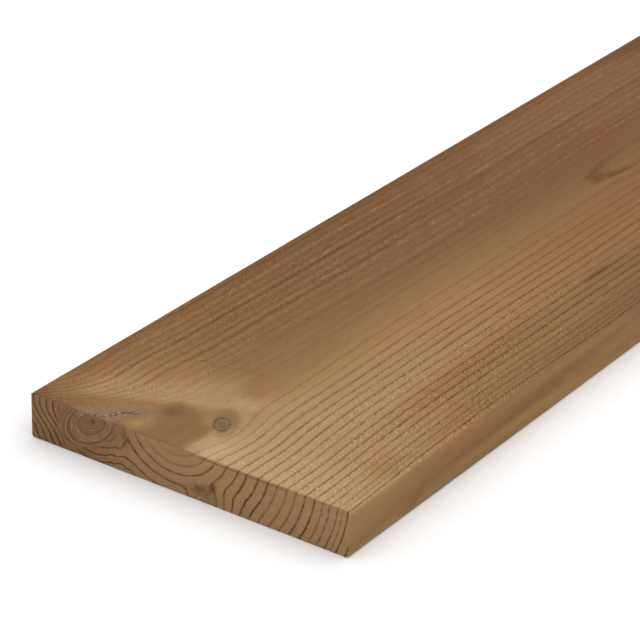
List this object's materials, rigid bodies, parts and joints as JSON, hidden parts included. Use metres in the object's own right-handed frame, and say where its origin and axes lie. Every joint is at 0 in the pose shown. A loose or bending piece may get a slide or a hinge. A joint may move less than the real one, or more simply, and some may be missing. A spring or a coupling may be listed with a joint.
{
  "type": "cladding board",
  "caption": "Rectangular exterior cladding board in brown softwood, with a fine-sawn face, planed edges and growth rings showing on its square-cut ends.",
  "frame": {"origin": "centre of the back face, which lies on the floor", "axes": "+X along the grain, with the pictured sawn end at -X; +Y across the width; +Z out of the show face"},
  "size_m": [2.4, 0.148, 0.019],
  "materials": {
    "brown_softwood": "fine-sawn face, planed edges, brown through the whole section"
  },
  "bodies": {
    "root": {"cladding_board": "brown_softwood"}
  },
  "joints": []
}
